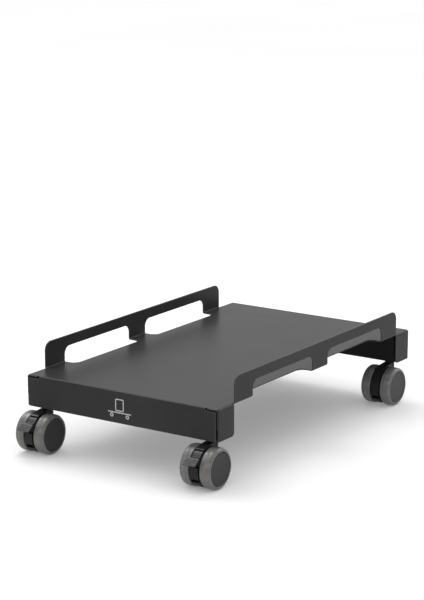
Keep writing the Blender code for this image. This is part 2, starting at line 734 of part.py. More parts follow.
# ---- Wheels: core, tread and cap, turned about Z and laid along X --------------------------------
hub_start = HOUSING_WIDTH / 2 + TOUCH
cap_outer = WHEEL_OUTER - CAP_SINK
cap_inner = cap_outer - CAP_THICKNESS
rim_outer = TREAD_BORE - TOUCH
rim_inner = rim_outer - RIM_DEPTH
rim_end = cap_inner - TOUCH
hub_outer = AXLE_BORE + HUB_WALL
web_start = WHEEL_INNER + TOUCH
web_end = web_start + WHEEL_WEB
core_mesh = turned(
    "wheel_core",
    (
        (AXLE_BORE, rim_end),
        (hub_outer, rim_end),
        (hub_outer, web_end),
        (rim_inner, web_end),
        (rim_inner, rim_end),
        (rim_outer, rim_end),
        (rim_outer, web_start),
        (hub_outer, web_start),
        (hub_outer, hub_start),
        (AXLE_BORE, hub_start),
    ),
    WHEEL_STEPS,
    core_plastic,
)

shoulder = arc_points(
    (WHEEL_RADIUS - TREAD_SHOULDER, WHEEL_OUTER - TREAD_SHOULDER), TREAD_SHOULDER, 90, 0, 4
)
tread_profile = [(TREAD_BORE, WHEEL_OUTER)] + [
    point for point in shoulder if point[0] > TREAD_BORE + MERGE
]
tread_profile += [
    (WHEEL_RADIUS, WHEEL_INNER + TREAD_EDGE),
    (WHEEL_RADIUS - TREAD_EDGE, WHEEL_INNER),
    (TREAD_BORE, WHEEL_INNER),
]
tread_mesh = turned("tread", tread_profile, TREAD_STEPS, tread_rubber)

cap_radius = TREAD_BORE - TOUCH
cap_mesh = turned(
    "hub_cap",
    (
        (0.0, cap_outer),
        (cap_radius - TREAD_EDGE, cap_outer),
        (cap_radius, cap_outer - TREAD_EDGE / 2),
        (cap_radius, cap_inner),
        (0.0, cap_inner),
    ),
    CAP_STEPS,
    cap_plastic,
)

axle_half = cap_inner - 2 * TOUCH
axle_mesh = turned(
    "axle",
    (
        (0.0, axle_half),
        (AXLE_RADIUS - CHAMFER, axle_half),
        (AXLE_RADIUS, axle_half - CHAMFER),
        (AXLE_RADIUS, CHAMFER - axle_half),
        (AXLE_RADIUS - CHAMFER, -axle_half),
        (0.0, -axle_half),
    ),
    PIN_STEPS,
    zinc_plate,
)


# ---- Casters in place ----------------------------------------------------------------------------
def place(name, mesh, parent, location=(0.0, 0.0, 0.0), turn=0.0):
    obj = add(name, mesh)
    obj.parent = parent
    obj.location = location
    obj.rotation_euler.y = math.radians(turn)
    return obj


def holder(name, location, parent=None):
    empty = bpy.data.objects.new(name, None)
    parts.objects.link(empty)
    empty.parent = parent
    empty.location = location
    return empty


for end_name, end_sign in (("front", -1), ("rear", 1)):
    for side_name, side_sign in (("left", -1), ("right", 1)):
        corner = end_name + "_" + side_name + "_"
        swivel = holder(
            corner + "swivel_axis", (side_sign * STEM_X, FRAME_Y + end_sign * STEM_Y, 0.0)
        )
        place(corner + "stem", stem_mesh, swivel)
        place(corner + "snap_ring", ring_mesh, swivel)
        place(corner + "weld_nut", nut_mesh, swivel)
        axle_axis = holder(corner + "axle_axis", (0.0, -TRAIL, WHEEL_RADIUS), swivel)
        place(corner + "housing", housing_meshes[end_name], axle_axis)
        place(corner + "axle", axle_mesh, axle_axis, turn=90.0)
        if end_name == "front":
            place(corner + "brake_lever", lever_mesh, axle_axis, pivot_shift)
            place(corner + "brake_pin", pin_mesh, axle_axis, pivot_shift)
        for wheel_name, turn in (("left_wheel_", -90.0), ("right_wheel_", 90.0)):
            for piece, mesh in (("core", core_mesh), ("tread", tread_mesh), ("cap", cap_mesh)):
                place(corner + wheel_name + piece, mesh, axle_axis, turn=turn)
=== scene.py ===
# %% [markdown]
# # A rolling stand for a desktop computer tower
# The real stand is a folded steel tray that a computer tower is lifted onto. Two steel channels
# stiffen it underneath, and four twin-wheel casters carry it, the front pair with a foot brake.
# The measured model already holds every piece at its true size, and this lesson dresses it. Each
# piece is rebuilt with finer folds, rounded edges and its own finish, then hung on the measured
# body that it moves with. The first step loads that model and keeps its boxes, which give the
# dressed pieces their sizes.

import math

import bmesh
import bpy
from mathutils import Matrix, Vector


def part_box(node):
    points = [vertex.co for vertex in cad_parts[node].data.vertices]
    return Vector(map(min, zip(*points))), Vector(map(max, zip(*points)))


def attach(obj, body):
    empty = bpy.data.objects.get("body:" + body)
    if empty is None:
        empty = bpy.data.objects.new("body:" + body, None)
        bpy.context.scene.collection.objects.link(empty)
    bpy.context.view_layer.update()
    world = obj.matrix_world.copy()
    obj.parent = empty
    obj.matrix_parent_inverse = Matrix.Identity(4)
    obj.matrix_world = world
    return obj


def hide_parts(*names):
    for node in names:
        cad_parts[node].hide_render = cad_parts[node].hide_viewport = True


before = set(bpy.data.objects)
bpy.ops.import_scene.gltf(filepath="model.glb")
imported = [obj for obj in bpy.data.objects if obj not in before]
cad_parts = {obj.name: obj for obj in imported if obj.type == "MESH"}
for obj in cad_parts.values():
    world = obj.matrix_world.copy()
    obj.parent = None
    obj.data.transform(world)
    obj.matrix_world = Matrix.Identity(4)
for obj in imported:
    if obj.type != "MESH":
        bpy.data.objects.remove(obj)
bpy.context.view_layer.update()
MM = 0.001

# %% [markdown]
# ## Finishes
# Every finish here starts from the same few nodes. A real coat or moulding is never one flat
# colour: it has broad, faint patches, a fine grain, and a gloss that changes a little from place
# to place. Noise textures in the piece's own space give all three, so the pattern stays on the
# piece when it turns. The broad noise tints the colour and the gloss, and the fine noise goes
# through a Bump node, which tilts the light without moving the surface. An image would need
# unwrapping and a fixed resolution, so noise is the better choice for plain coats like these.

# %% A helper that makes a grained finish
MICRON = 0.001 * MM
PATCH_DETAIL, GRAIN_DETAIL = 5.0, 3.0
GRAIN_SHARE = 0.45  # how much of the mottle is fine grain
TINT_SPAN, GLOSS_SPAN = (0.32, 0.68), (0.3, 0.7)  # the part of the mottle that changes them


def grained_finish(name, tones, gloss, grain, patch, metal=0.0, specular=0.5):
    """tones: darkest and lightest colour. gloss: lowest and highest roughness.
    grain: its size in mm and its height in microns. patch: broad patches for each metre."""
    grain_size, grain_height = grain
    finish = bpy.data.materials.new(name)
    finish.use_nodes = True
    tree = finish.node_tree
    shader = tree.nodes["Principled BSDF"]
    shader.inputs["Metallic"].default_value = metal
    shader.inputs["Specular IOR Level"].default_value = specular

    place = tree.nodes.new("ShaderNodeTexCoord")
    broad = tree.nodes.new("ShaderNodeTexNoise")
    broad.inputs["Scale"].default_value = patch
    broad.inputs["Detail"].default_value = PATCH_DETAIL
    fine = tree.nodes.new("ShaderNodeTexNoise")
    fine.inputs["Scale"].default_value = 1.0 / (grain_size * MM)
    fine.inputs["Detail"].default_value = GRAIN_DETAIL
    for noise in (broad, fine):
        tree.links.new(place.outputs["Object"], noise.inputs["Vector"])

    mottle = tree.nodes.new("ShaderNodeMix")
    mottle.inputs["Factor"].default_value = GRAIN_SHARE
    tree.links.new(broad.outputs["Fac"], mottle.inputs["A"])
    tree.links.new(fine.outputs["Fac"], mottle.inputs["B"])
    tint = tree.nodes.new("ShaderNodeValToRGB")
    for stop, position, tone in zip(tint.color_ramp.elements, TINT_SPAN, tones):
        stop.position = position
        stop.color = (*tone, 1.0)
    tree.links.new(mottle.outputs["Result"], tint.inputs["Fac"])
    tree.links.new(tint.outputs["Color"], shader.inputs["Base Color"])

    sheen = tree.nodes.new("ShaderNodeMapRange")
    sheen.inputs["From Min"].default_value, sheen.inputs["From Max"].default_value = GLOSS_SPAN
    sheen.inputs["To Min"].default_value, sheen.inputs["To Max"].default_value = gloss
    tree.links.new(mottle.outputs["Result"], sheen.inputs["Value"])
    tree.links.new(sheen.outputs["Result"], shader.inputs["Roughness"])

    bump = tree.nodes.new("ShaderNodeBump")
    bump.inputs["Strength"].default_value = 1.0
    bump.inputs["Distance"].default_value = grain_height * MICRON
    tree.links.new(fine.outputs["Fac"], bump.inputs["Height"])
    tree.links.new(bump.outputs["Normal"], shader.inputs["Normal"])
    print("finish", name, "grain", grain_size, "mm")
    return finish


def grey(value, warmth=0.0):
    """A near neutral colour, a little warmer where warmth is above zero."""
    return (value * (1.0 + warmth), value, value * (1.0 - warmth))


# %% [markdown]
# ## Powder coat, plastics, rubber and plated steel
# The folded sheet and its channels are powder coated: charged powder is sprayed on and baked, and
# it melts into a satin skin with the faint waviness called orange peel. It pulls back from a cut edge
# as it melts, and hands rub it there, so the edges have a thin, greyer coat. That edge coat is also
# made lighter than the wear alone would make it, as a painted highlight along every edge. The caster
# housings are black nylon with a fine spark-eroded grain. The tyres are grey thermoplastic rubber,
# paler and
# more mottled than the rest because they pick up dust. The hub discs are charcoal plastic, and the
# small hardware is zinc plated or blackened steel.

# %% The finishes of this stand
coat = grained_finish(
    "satin_powder_coat", (grey(0.021), grey(0.032)), (0.27, 0.36), (1.1, 22.0),
    patch=14.0, specular=0.09,
)
# The edge coat is thin, worn coat and also a painted highlight: it is lighter than wear alone would
# make it.
edge_wear_and_highlight_coat = grained_finish(
    "thin_edge_coat_and_painted_highlight", (grey(0.04), grey(0.065)), (0.3, 0.42), (1.1, 22.0),
    patch=40.0, specular=0.25,
)
# Painted shade: the channels' coat is a darker copy of the tray's coat, for their place under the tray.
channel_coat_painted_shade = grained_finish(
    "channel_coat_darkened_as_painted_shade", (grey(0.004), grey(0.008)), (0.4, 0.52), (0.9, 20.0),
    patch=20.0, specular=0.15,
)
nylon = grained_finish(
    "black_nylon", (grey(0.009), grey(0.015)), (0.3, 0.44), (0.45, 16.0),
    patch=90.0, specular=0.16,
)
pedal_nylon = grained_finish(
    "charcoal_nylon", (grey(0.019), grey(0.032)), (0.36, 0.5), (0.45, 14.0),
    patch=90.0, specular=0.28,
)
tyre_rubber = grained_finish(
    "grey_tyre_rubber", (grey(0.06, 0.02), grey(0.165, 0.02)), (0.34, 0.48), (0.8, 40.0),
    patch=120.0,
)
disc_plastic = grained_finish(
    "charcoal_hub_plastic", (grey(0.017), grey(0.024)), (0.34, 0.44), (0.4, 10.0),
    patch=60.0, specular=0.22,
)
core_plastic = grained_finish(
    "wheel_core_plastic", (grey(0.03), grey(0.045)), (0.45, 0.6), (0.5, 12.0), patch=80.0
)
zinc = grained_finish(
    "zinc_plate", (grey(0.42), grey(0.62)), (0.26, 0.42), (0.5, 6.0), patch=260.0, metal=1.0
)
black_steel = grained_finish(
    "blackened_steel", (grey(0.05), grey(0.09)), (0.3, 0.44), (0.4, 8.0), patch=200.0, metal=0.85
)

# %% [markdown]
# ## Building tools
# Four ways of making a solid cover the whole stand: turning a profile about an axis for wheels
# and pins, standing a flat outline up in the side view for mouldings, cutting one solid with
# another, and folding a sheet. Each is a short function. After cutting, every hard edge gets a
# small rounding, because no pressed or moulded edge is perfectly sharp, and it is that narrow
# round that catches the light in a line.

# %% Turning, standing up, cutting and rounding
WELD = 0.00001  # metres: points this close are one point
FLAT_SEAM, HARD_EDGE = 0.6, 40.0  # degrees between faces


def mesh_of(bm, name):
    bmesh.ops.remove_doubles(bm, verts=bm.verts, dist=WELD)
    bmesh.ops.recalc_face_normals(bm, faces=bm.faces)
    mesh = bpy.data.meshes.new(name)
    bm.to_mesh(mesh)
    bm.free()
    return mesh


def hold(name, mesh):
    piece = bpy.data.objects.new(name, mesh)
    bpy.context.scene.collection.objects.link(piece)
    return piece


def taken(piece):
    """The piece's mesh, with the piece itself thrown away, so that the mesh can be hung often."""
    mesh = piece.data
    bpy.data.objects.remove(piece)
    return mesh


def rod(radius, low, high):
    """The profile of a plain rod as (radius, height) points."""
    return [(0, low), (radius, low), (radius, high), (0, high)]


def turned(name, profile, steps, closed=False):
    """A solid of revolution about Z from (radius, height) points in mm."""
    bm = bmesh.new()
    line = [bm.verts.new((radius * MM, 0.0, height * MM)) for radius, height in profile]
    pairs = list(zip(line, line[1:])) + ([(line[-1], line[0])] if closed else [])
    for pair in pairs:
        bm.edges.new(pair)
    whole = list(bm.verts) + list(bm.edges)
    bmesh.ops.spin(bm, geom=whole, axis=(0, 0, 1), cent=(0, 0, 0), angle=math.tau, steps=steps)
    return mesh_of(bm, name)


def pull(bm, extruded, along):
    """Moves the new points of an extrusion along this vector, in mm."""
    points = [item for item in extruded["geom"] if isinstance(item, bmesh.types.BMVert)]
    bmesh.ops.translate(bm, vec=[length * MM for length in along], verts=points)


def upright(name, outline, width):
    """A flat piece standing in the side view, from (y, z) points and its width along X, in mm."""
    bm = bmesh.new()
    face = bm.faces.new([bm.verts.new((-width / 2 * MM, y * MM, z * MM)) for y, z in outline])
    pull(bm, bmesh.ops.extrude_face_region(bm, geom=[face]), (width, 0, 0))
    return mesh_of(bm, name)


def block(name, low, high):
    """A cutter with square corners, from its lowest to its highest corner in mm."""
    bm = bmesh.new()
    bmesh.ops.create_cube(bm, size=1.0)
    size = Vector(high) - Vector(low)
    bmesh.ops.scale(bm, vec=size * MM, verts=bm.verts)
    bmesh.ops.translate(bm, vec=(Vector(low) + size / 2) * MM, verts=bm.verts)
    return mesh_of(bm, name)


def settled(piece):
    """The piece with its modifiers made real."""
    bpy.context.view_layer.update()
    graph = bpy.context.evaluated_depsgraph_get()
    made = bpy.data.meshes.new_from_object(piece.evaluated_get(graph))
    piece.modifiers.clear()
    piece.data = made
    return piece


def combine(piece, tools, operation="DIFFERENCE"):
    """Cuts the tools from the piece, or joins them to it, and throws the tools away."""
    for tool in tools:
        cut = piece.modifiers.new("cut", "BOOLEAN")
        cut.operation, cut.object, cut.solver = operation, tool, "EXACT"
        settled(piece)
        bpy.data.objects.remove(tool)
    return piece


def round_edges(piece, radius, segments=2, edge_slot=-1):
    """Clears flat seams left by cutting, then rounds every hard edge.
    The rounding takes its finish from edge_slot, or from the faces beside it."""
    bm = bmesh.new()
    bm.from_mesh(piece.data)
    bmesh.ops.remove_doubles(bm, verts=bm.verts, dist=2 * WELD)
    seam = math.radians(FLAT_SEAM)
    bmesh.ops.dissolve_limit(bm, angle_limit=seam, verts=bm.verts, edges=bm.edges)
    bm.to_mesh(piece.data)
    bm.free()
    soft = piece.modifiers.new("rounded edges", "BEVEL")
    soft.width, soft.segments = radius * MM, segments
    soft.limit_method, soft.angle_limit = "ANGLE", math.radians(HARD_EDGE)
    soft.use_clamp_overlap = False
    soft.material = edge_slot
    return settled(piece)


def smooth(piece, finish, sharper_than=35.0, edge_finish=None):
    """Smooth shading up to this angle, with large flat faces kept flat, and the finish put on.
    With an edge finish, the faces that a rounding made in slot 1 get that one."""
    piece.data.shade_smooth()
    piece.data.set_sharp_from_angle(angle=math.radians(sharper_than))
    flat = piece.modifiers.new("flat faces stay flat", "WEIGHTED_NORMAL")
    flat.keep_sharp = True
    settled(piece)
    edges = [face.index for face in piece.data.polygons if edge_finish and face.material_index == 1]
    piece.data.materials.clear()
    piece.data.materials.append(finish)
    if edge_finish:
        piece.data.materials.append(edge_finish)
    for index in edges:
        piece.data.polygons[index].material_index = 1
    return piece


def arc(centre, radius, start, end, count):
    """Points along an arc, both ends included, angles in degrees from the first axis."""
    turns = [math.radians(start + (end - start) * i / count) for i in range(count + 1)]
    return [(centre[0] + radius * math.cos(t), centre[1] + radius * math.sin(t)) for t in turns]


# %% [markdown]
# ## The folded sheet
# The tray is laser cut from one 1.8 mm sheet and folded on a press brake. Its front, rear and end
# edges turn down into skirts. Between them the long sides turn up into low rails, and the two
# windows in each rail also bite into the deck, so that each rail stands on three feet. The shape
# could be cut from a thick block, but folding it as the maker does is simpler: lay out the middle
# of the sheet as flat panels, round the fold lines with a Bevel, and thicken it with Solidify. Only
# a quarter is drawn, and a Mirror makes the rest.

# %% Sizes read from the measured deck
deck_low, deck_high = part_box("deck")
middle_y = (deck_low.y + deck_high.y) / 2 / MM
half_width = (deck_high.x - deck_low.x) / 2 / MM
half_length = (deck_high.y - deck_low.y) / 2 / MM
rail_top, skirt_bottom = deck_high.z / MM, deck_low.z / MM
SHEET = 1.8
FOLD = 3.0  # outside radius
BEND_STEPS = 7
RAIL_RISE, RAIL_CORNER = 32.3, 11.0  # the rise is from the deck's top face
SKIRT_REACH, SKIRT_CORNER = 34.5, 5.0  # the reach is along the side
RELIEF_WIDTH, RELIEF_DEPTH = 1.2, 1.2  # the small cut between an end skirt and its rail
END_FOOT, HALF_MIDDLE_FOOT = 38.4, 17.5
WINDOW_RISE, WINDOW_BITE, WINDOW_CORNER = 18.5, 18.5, 10.0
deck_top = rail_top - RAIL_RISE
middle = deck_top - SHEET / 2
side, end = half_width - SHEET / 2, half_length - SHEET / 2
bend = FOLD - SHEET / 2  # radius at the middle of the sheet
skirt_end = half_length - SKIRT_REACH
rail_end = skirt_end - RELIEF_WIDTH
window_end, window_start = rail_end - END_FOOT, HALF_MIDDLE_FOOT
window_top, bite = deck_top + WINDOW_RISE, half_width - WINDOW_BITE
print("deck", 2 * half_width, "x", 2 * half_length, "top at", round(deck_top, 2))

# %% Lay out a quarter of the sheet
ARC = 14  # steps round a large corner
relief_middle, relief_deep = (skirt_end + rail_end) / 2, side - bend - RELIEF_DEPTH
far_corner, near_corner = window_end - WINDOW_CORNER, window_start + WINDOW_CORNER
plan = [(0, 0), (0, end), (side, end), (side, skirt_end)]
plan += arc((relief_deep, relief_middle), RELIEF_WIDTH / 2, 90, 270, 6)
plan += [(side, rail_end), (side, window_end)]
plan += arc((bite + WINDOW_CORNER, far_corner), WINDOW_CORNER, 90, 180, ARC)
plan += arc((bite + WINDOW_CORNER, near_corner), WINDOW_CORNER, 180, 270, ARC)
plan += [(side, window_start), (side, 0)]
rail = [(0, middle), (0, rail_top)]
rail += arc((rail_end - RAIL_CORNER, rail_top - RAIL_CORNER), RAIL_CORNER, 90, 0, ARC)
rail += [(rail_end, middle), (window_end, middle)]
rail += arc((far_corner, window_top - WINDOW_CORNER), WINDOW_CORNER, 0, 90, ARC)
rail += arc((near_corner, window_top - WINDOW_CORNER), WINDOW_CORNER, 90, 180, ARC)
rail += [(window_start, middle)]
skirt_corner = (skirt_end + SKIRT_CORNER, skirt_bottom + SKIRT_CORNER)
end_skirt = [(end, middle), (end, skirt_bottom)]
end_skirt += arc(skirt_corner, SKIRT_CORNER, 270, 180, ARC // 2) + [(skirt_end, middle)]
cross_skirt = [(0, middle), (side, middle), (side, skirt_bottom), (0, skirt_bottom)]
flat_panels = [[(x, y, middle) for x, y in plan]]
flat_panels += [[(side, y, z) for y, z in panel] for panel in (rail, end_skirt)]
flat_panels += [[(x, end, z) for x, z in cross_skirt]]
print("one quarter is", len(flat_panels), "flat panels")

# %% Fold and thicken it
def bend_and_thicken(piece, radius, steps, thickness):
    """Rounds the folds of flat panels, at the middle of the sheet, and gives them a thickness."""
    bends = piece.modifiers.new("bends", "BEVEL")
    bends.width, bends.segments = radius * MM, steps
    bends.limit_method, bends.angle_limit = "ANGLE", math.radians(45.0)
    bends.use_clamp_overlap = False
    wall = piece.modifiers.new("sheet thickness", "SOLIDIFY")
    wall.thickness, wall.offset, wall.use_even_offset = thickness * MM, 0.0, True
    return settled(piece)


bm = bmesh.new()
for panel in flat_panels:
    bm.faces.new([bm.verts.new(Vector(point) * MM) for point in panel])
deck = hold("folded_deck", mesh_of(bm, "folded_deck"))
halves = deck.modifiers.new("halves", "MIRROR")
halves.use_axis, halves.merge_threshold = (True, True, False), 5 * WELD
bend_and_thicken(deck, bend, BEND_STEPS, SHEET)
print("folded sheet has", len(deck.data.polygons), "faces")

# %% [markdown]
# ## Slits at the corners
# A press brake can't fold a skirt right up to a corner that folds the other way, so the corners
# of the front and rear skirts are cut free first: a slit just under the deck, ending in a small
# round hole that stops it tearing, and a gap down the corner that widens near the bottom. They
# show as fine dark lines. Cutting them from the folded sheet with Booleans puts them in the right
# place across the fold, which is hard to do in the flat layout.

# %% Cut the corners free
GAP_IN, SLIT_DOWN = 3.4, 3.4  # from the side face and from the deck's top face
CUT_WIDTH, SLIT_LENGTH, STOP_HOLE = 1.5, 13.6, 1.6
WIDER_HEIGHT = 15.0
PAST, CLEAR = 1.0, 0.3  # how far a cutter runs past the sheet, outside and inside
SHEET_EDGE = 0.5
gap_low = half_width - GAP_IN
gap_high = gap_low + CUT_WIDTH
slit_low = deck_top - SLIT_DOWN
slit_start = gap_low - SLIT_LENGTH
inside, outside = half_length - FOLD - CLEAR, half_length + PAST
below = skirt_bottom - PAST
half_cut = CUT_WIDTH / 2
shapes = [
    block("slit", (slit_start, inside, slit_low), (gap_high, outside, slit_low + CUT_WIDTH)),
    block("gap", (gap_low, inside, below), (gap_high, outside, slit_low + half_cut)),
    block(
        "wider gap",
        (gap_low + half_cut, half_length - SHEET - CLEAR, below),
        (half_width + PAST, outside, skirt_bottom + WIDER_HEIGHT),
    ),
    turned("stop hole", rod(STOP_HOLE, -6, 6), 32),
]
on_fold = Vector((slit_start, half_length - SHEET / 2, deck_top - SHEET / 2)) * MM
shapes[-1].transform(Matrix.Translation(on_fold) @ Matrix.Rotation(math.radians(-45.0), 4, "X"))
for shape in shapes:
    tool = hold(shape.name, shape)
    corners = tool.modifiers.new("four corners", "MIRROR")
    corners.use_axis = (True, True, False)
    combine(deck, [settled(tool)])
# Slot 1 takes the edge coat: thin, worn coat plus a painted highlight on every rounded edge.
for finish in (coat, edge_wear_and_highlight_coat):
    deck.data.materials.append(finish)
round_edges(deck, SHEET_EDGE, segments=3, edge_slot=1)
widest, longest = half_width * MM, half_length * MM
for point in deck.data.vertices:  # rounding beside a slit pushes a few points a hair past the sheet
    point.co.x = max(-widest, min(widest, point.co.x))
    point.co.y = max(-longest, min(longest, point.co.y))
smooth(deck, coat, edge_finish=edge_wear_and_highlight_coat)
deck.location.y = middle_y * MM
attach(deck, "frame")
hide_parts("deck")
print("finished sheet has", len(deck.data.polygons), "faces")

# %% [markdown]
# ## Cross channels
# Under each end of the tray runs a lipped channel, roll formed from 2 mm steel and welded to the
# deck. It carries the weld nuts that the caster stems screw into. Its coat is a much darker copy of
# the tray's coat, as painted shade for its place under the tray. The same idea works as for the
# sheet: draw the line of the section, sweep it, round its bends, thicken it, then drill it.

# %% Sweep, bend and drill the two channels
GAUGE, LIP = 2.0, 8.0
STEM_HOLE, CHANNEL_EDGE = 4.2, 0.25


def centre_of(node):
    """The middle of a measured piece's box."""
    low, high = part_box(node)
    return (low + high) / 2


for end_name in ("front", "rear"):
    low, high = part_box(end_name + "_cross_channel")
    half_run = (high.x - low.x) / 2 / MM
    low_y, high_y = low.y / MM + GAUGE / 2, high.y / MM - GAUGE / 2
    low_z, high_z = low.z / MM + GAUGE / 2, high.z / MM - GAUGE / 2
    section = [(low_y + LIP, high_z), (low_y, high_z), (low_y, low_z)]
    section += [(high_y, low_z), (high_y, high_z), (high_y - LIP, high_z)]
    bm = bmesh.new()
    line = [bm.verts.new(Vector((-half_run, y, z)) * MM) for y, z in section]
    edges = [bm.edges.new(pair) for pair in zip(line, line[1:])]
    pull(bm, bmesh.ops.extrude_edge_only(bm, edges=edges), (2 * half_run, 0, 0))
    channel = hold(end_name + "_stiffening_channel", mesh_of(bm, end_name + "_channel"))
    bend_and_thicken(channel, GAUGE, 6, GAUGE)
    for side_name in ("left", "right"):
        seat = centre_of(f"{end_name}_{side_name}_stem")
        tool = hold("stem hole", turned("stem hole", rod(STEM_HOLE, -8, 8), 40))
        tool.location = (seat.x, seat.y, low.z)
        combine(channel, [tool])
    round_edges(channel, CHANNEL_EDGE)
    smooth(channel, channel_coat_painted_shade)
    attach(channel, "frame")
    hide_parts(end_name + "_cross_channel")
    print(channel.name, "runs", round(2 * half_run, 1), "mm")

# %% [markdown]
# ## A plain mark on the front skirt
# The maker pad prints something small in pale ink in the middle of the front skirt. Here it is a
# plain pictogram, a tower standing on a line over two wheels, which says what the stand is for and
# belongs to nobody. Ink has a little thickness, so each stroke is a very thin solid lying on the
# coat. That stays crisp at any size, which a painted texture would not.

# %% Print the pictogram
ink = grained_finish("pale_ink", (grey(0.36), grey(0.46)), (0.45, 0.6), (0.3, 4.0), patch=150.0)
INK, BEHIND_FACE = 0.06, 0.02  # how far the ink stands proud, and how deep it starts
STROKE = 1.3
MARK_RISE = 12.5  # from the skirt's lower edge to the line
TOWER_SIDE, TOWER_LOW, TOWER_HIGH = 6.2, 2.4, 17.6
LINE_SIDE = 17.0
MARK_WHEEL, MARK_WHEEL_SIDE, MARK_WHEEL_DOWN = 2.5, 11.5, 3.1
front_face = middle_y - half_length


def ring_stroke(bm, points, inner_points):
    """A closed stroke between two outlines with the same number of (x, z) points."""
    back_out, back_in, face_out, face_in = [
        [bm.verts.new(Vector((x, y, z)) * MM) for x, z in outline]
        for y in (front_face + BEHIND_FACE, front_face - INK)
        for outline in (points, inner_points)
    ]
    sides = ((face_out, face_in), (back_in, back_out), (back_out, face_out), (face_in, back_in))
    for i in range(len(points)):
        j = (i + 1) % len(points)
        for a, b in sides:
            bm.faces.new((a[i], a[j], b[j], b[i]))


def rounded(low, high, radius):
    """(x, z) points round a rectangle with rounded corners."""
    (x0, z0), (x1, z1) = low, high
    points = arc((x1 - radius, z1 - radius), radius, 0, 90, 5)
    points += arc((x0 + radius, z1 - radius), radius, 90, 180, 5)
    points += arc((x0 + radius, z0 + radius), radius, 180, 270, 5)
    return points + arc((x1 - radius, z0 + radius), radius, 270, 360, 5)


bm = bmesh.new()
mark_z = skirt_bottom + MARK_RISE
tower_low, tower_high = mark_z + TOWER_LOW, mark_z + TOWER_HIGH
tower = (-TOWER_SIDE, tower_low), (TOWER_SIDE, tower_high)
tower_hole = (STROKE - TOWER_SIDE, tower_low + STROKE), (TOWER_SIDE - STROKE, tower_high - STROKE)
ring_stroke(bm, rounded(*tower, 1.8), rounded(*tower_hole, 0.6))
tray = (-LINE_SIDE, mark_z), (LINE_SIDE, mark_z + STROKE)
core_side = LINE_SIDE - 0.6  # the line's hole is so thin that the stroke looks solid
tray_middle = (-core_side, mark_z + 0.48 * STROKE), (core_side, mark_z + 0.52 * STROKE)
ring_stroke(bm, rounded(*tray, STROKE / 2), rounded(*tray_middle, 0.01))
for wheel_x in (-MARK_WHEEL_SIDE, MARK_WHEEL_SIDE):
    hub = (wheel_x, mark_z - MARK_WHEEL_DOWN)
    ring_stroke(bm, arc(hub, MARK_WHEEL, 0, 345, 23), arc(hub, MARK_WHEEL - STROKE, 0, 345, 23))
mark = hold("printed_pictogram", mesh_of(bm, "printed_pictogram"))
smooth(mark, ink)
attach(mark, "frame")
print("pictogram is", 2 * LINE_SIDE, "mm wide")

# %% [markdown]
# ## Caster stems
# Each caster hangs from a stem: an M8 thread above, a hexagon to hold it by, and a plain pin below
# that the housing turns on, with a groove for its snap ring. The thread is a real helix here. Its
# surface is a grid wrapped round the axis, where the radius at each point depends on how far it
# has climbed and turned, and it fades out at both ends as a rolled thread does.

# %% Roll the thread and join the stem
stem_low, stem_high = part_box("front_left_stem")
stem_bottom, stem_top = stem_low.z / MM, stem_high.z / MM
collar_base = stem_top - 13.2
PIN, GROOVE, SHANK, CREST = 4.0, 3.3, 2.6, 3.95  # radii: pin, ring groove, rod inside the thread
COLLAR_ACROSS, COLLAR_HEIGHT, COLLAR_CHAMFER = 13.0, 2.5, 1.1


def rolled_thread(low, high, crest, pitch=1.25, depth=0.62, round_count=36, rows_per_turn=8):
    rows = round((high - low) / pitch * rows_per_turn)
    bm = bmesh.new()
    grid = []
    for row in range(rows + 1):
        z = low + (high - low) * row / rows
        fade = min(1.0, (z - low) / pitch, (high - z) / pitch)
        ring = []
        for column in range(round_count):
            climb = (z / pitch - column / round_count) % 1.0
            valley = abs(2.0 * climb - 1.0)
            radius = crest - depth * (1.0 - fade + fade * min(1.0, max(0.0, 1.2 * valley - 0.1)))
            angle = math.tau * column / round_count
            point = Vector((radius * math.cos(angle), radius * math.sin(angle), z)) * MM
            ring.append(bm.verts.new(point))
        grid.append(ring)
    for lower, upper in zip(grid, grid[1:]):
        for i in range(round_count):
            j = (i + 1) % round_count
            bm.faces.new((lower[i], lower[j], upper[j], upper[i]))
    bm.faces.new(grid[0][::-1])
    bm.faces.new(grid[-1])
    return mesh_of(bm, "rolled thread")


def hexagon(name, across, low, high, chamfer):
    """A hexagon whose corners are turned off at both ends."""
    radius = across / math.sqrt(3.0)
    flats = arc((0, 0), radius, 30, 330, 5)
    bm = bmesh.new()
    face = bm.faces.new([bm.verts.new(Vector((x, y, low)) * MM) for x, y in flats])
    pull(bm, bmesh.ops.extrude_face_region(bm, geom=[face]), (0, 0, high - low))
    piece = hold(name, mesh_of(bm, name))
    drop = 0.55 * chamfer
    limit = [(0, low), (radius - chamfer, low), (radius, low + drop)]
    limit += [(radius, high - drop), (radius - chamfer, high), (0, high)]
    return combine(piece, [hold("turned limit", turned("turned limit", limit, 48))], "INTERSECT")


groove_low, groove_high = stem_bottom + 3.9, stem_bottom + 5.1
shank_low, shank_high = collar_base + 1.2, stem_top - 1.6
pin_profile = [(0, stem_bottom), (PIN - 0.6, stem_bottom), (PIN, stem_bottom + 0.6)]
pin_profile += [(PIN, groove_low), (GROOVE, groove_low), (GROOVE, groove_high)]
pin_profile += [(PIN, groove_high), (PIN, shank_low)]
pin_profile += [(SHANK, shank_low), (SHANK, shank_high), (0, shank_high)]
stem = hold("stem", turned("stem", pin_profile, 48))
thread = hold("thread", rolled_thread(collar_base + 2.0, stem_top, CREST))
collar_top = collar_base + COLLAR_HEIGHT
collar = hexagon("collar", COLLAR_ACROSS, collar_base, collar_top, COLLAR_CHAMFER)
combine(stem, [collar, thread], "UNION")
smooth(stem, black_steel, 28.0)
stem_mesh = taken(stem)
print("stem", round(stem_top - stem_bottom, 1), "mm long,", len(stem_mesh.polygons), "faces")

